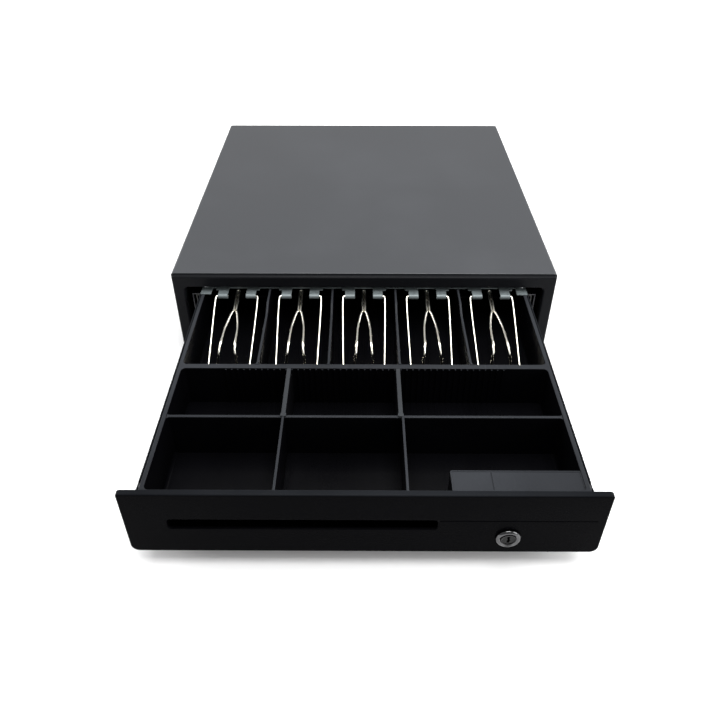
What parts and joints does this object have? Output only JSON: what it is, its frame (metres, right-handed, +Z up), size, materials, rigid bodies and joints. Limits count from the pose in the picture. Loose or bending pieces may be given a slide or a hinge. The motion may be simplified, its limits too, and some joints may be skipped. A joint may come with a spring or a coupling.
{
  "type": "cash drawer",
  "caption": "Steel point-of-sale cash drawer, shown open: sheet-steel housing, ball slides, key lock, solenoid latch and a plastic note and coin till with spring bill clips.",
  "frame": {"origin": "middle of the whole outline with the drawer open, at the underside of the feet", "axes": "+X to the right seen from the front, +Y from the drawer's face to the back panel, +Z up"},
  "size_m": [0.41, 0.688, 0.108],
  "materials": {
    "cover_steel": "charcoal powder coat with a fine orange peel, satin",
    "black_steel": "black powder coat with a fine orange peel, satin",
    "galvanised": "zinc-plated sheet steel, dull",
    "plate_steel": "galvanised sheet steel, faintly green, with bright bent edges",
    "rail_steel": "black zinc-plated roll-formed steel, lightly greased",
    "bearing_steel": "polished hardened steel",
    "screw_steel": "zinc-plated, turned",
    "spring_wire": "drawn spring steel wire",
    "nickel_wire": "bright nickel plate on drawn wire",
    "lock_chrome": "bright chrome plate",
    "lock_brass": "nickel-plated brass, turned",
    "till_plastic": "black moulded ABS with a fine spark-eroded texture",
    "divider_plastic": "black moulded ABS, slightly smoother than the till",
    "foot_rubber": "black rubber, dull",
    "coil_copper": "enamelled copper winding",
    "switch_plastic": "dark phenolic moulding",
    "socket_plastic": "black moulded nylon"
  },
  "bodies": {
    "housing": {"top_cover": "cover_steel", "base_pan": "black_steel", "front_frame": "black_steel", "rear_panel": "black_steel", "left_rail_bracket": "black_steel", "right_rail_bracket": "black_steel", "left_outer_rail": "rail_steel", "right_outer_rail": "rail_steel", "housing_rail_screws": "screw_steel", "rubber_feet": "foot_rubber", "foot_screws": "screw_steel", "cover_screws": "screw_steel", "lock_catch": "galvanised", "latch_bracket": "galvanised", "latch_screws": "screw_steel", "latch_pivot_pin": "screw_steel", "solenoid_frame": "galvanised", "solenoid_coil": "coil_copper", "latch_return_spring": "spring_wire", "kick_spring": "spring_wire", "kick_spring_guide": "galvanised", "drawer_switch": "switch_plastic", "switch_leaf": "spring_wire", "cable_socket": "socket_plastic"},
    "drawer": {"drawer_pan": "black_steel", "front_panel": "black_steel", "panel_brackets": "black_steel", "left_inner_rail": "rail_steel", "right_inner_rail": "rail_steel", "drawer_rail_screws": "screw_steel", "striker": "galvanised", "lock_body": "lock_chrome", "lock_nut": "screw_steel", "till": "till_plastic", "hinge_plate": "plate_steel", "hinge_plate_screws": "screw_steel"},
    "latch_lever": {"latch_lever": "galvanised"},
    "solenoid_plunger": {"solenoid_plunger": "screw_steel"},
    "left_ball_cage": {"left_ball_cage": "galvanised", "left_balls": "bearing_steel"},
    "right_ball_cage": {"right_ball_cage": "galvanised", "right_balls": "bearing_steel"},
    "lock_plug": {"lock_plug": "lock_brass", "lock_cam": "galvanised", "lock_cam_screw": "screw_steel"},
    "coin_divider_1": {"coin_divider_1": "divider_plastic"},
    "coin_divider_2": {"coin_divider_2": "divider_plastic"},
    "bill_clip_1": {"bill_clip_1": "nickel_wire"},
    "bill_clip_2": {"bill_clip_2": "nickel_wire"},
    "bill_clip_3": {"bill_clip_3": "nickel_wire"},
    "bill_clip_4": {"bill_clip_4": "nickel_wire"},
    "bill_clip_5": {"bill_clip_5": "nickel_wire"}
  },
  "joints": [
    {"name": "drawer_slide", "type": "slide", "parent": "housing", "child": "drawer", "axis": [0, -1, 0], "range_m": [-0.268, 0], "deforming": ["kick_spring", "switch_leaf"]},
    {"name": "left_cage_slide", "type": "slide", "parent": "housing", "child": "left_ball_cage", "axis": [0, -1, 0], "range_m": [-0.134, 0]},
    {"name": "right_cage_slide", "type": "slide", "parent": "housing", "child": "right_ball_cage", "axis": [0, -1, 0], "range_m": [-0.134, 0]},
    {"name": "latch_pivot", "type": "hinge", "parent": "housing", "child": "latch_lever", "pos_m": [0, 0.31235, 0.06], "axis": [-1, 0, 0], "range_deg": [0, 12], "stiffness_Nm_per_rad": 0.4, "springref_deg": -5.73, "deforming": ["latch_return_spring"]},
    {"name": "plunger_slide", "type": "slide", "parent": "housing", "child": "solenoid_plunger", "axis": [0, 0, -1], "range_m": [0, 0.00293]},
    {"name": "lock_turn", "type": "hinge", "parent": "drawer", "child": "lock_plug", "pos_m": [0.1137, -0.34065, 0.04], "axis": [0, -1, 0], "range_deg": [0, 90]},
    {"name": "coin_divider_1_lift", "type": "slide", "parent": "drawer", "child": "coin_divider_1", "axis": [0, 0, 1], "range_m": [0, 0.045]},
    {"name": "coin_divider_2_lift", "type": "slide", "parent": "drawer", "child": "coin_divider_2", "axis": [0, 0, 1], "range_m": [0, 0.045]},
    {"name": "bill_clip_1_pivot", "type": "hinge", "parent": "drawer", "child": "bill_clip_1", "pos_m": [-0.1352, -0.07715, 0.0852], "axis": [-1, 0, 0], "range_deg": [0, 80]},
    {"name": "bill_clip_2_pivot", "type": "hinge", "parent": "drawer", "child": "bill_clip_2", "pos_m": [-0.0676, -0.07715, 0.0852], "axis": [-1, 0, 0], "range_deg": [0, 80]},
    {"name": "bill_clip_3_pivot", "type": "hinge", "parent": "drawer", "child": "bill_clip_3", "pos_m": [0, -0.07715, 0.0852], "axis": [-1, 0, 0], "range_deg": [0, 80]},
    {"name": "bill_clip_4_pivot", "type": "hinge", "parent": "drawer", "child": "bill_clip_4", "pos_m": [0.0676, -0.07715, 0.0852], "axis": [-1, 0, 0], "range_deg": [0, 80]},
    {"name": "bill_clip_5_pivot", "type": "hinge", "parent": "drawer", "child": "bill_clip_5", "pos_m": [0.1352, -0.07715, 0.0852], "axis": [-1, 0, 0], "range_deg": [0, 80]}
  ],
  "couplings": [
    {"joint": "left_cage_slide", "follows": "drawer_slide", "ratio": 0.5},
    {"joint": "right_cage_slide", "follows": "drawer_slide", "ratio": 0.5},
    {"joint": "plunger_slide", "follows": "latch_pivot", "m_per_rad": 0.014}
  ]
}
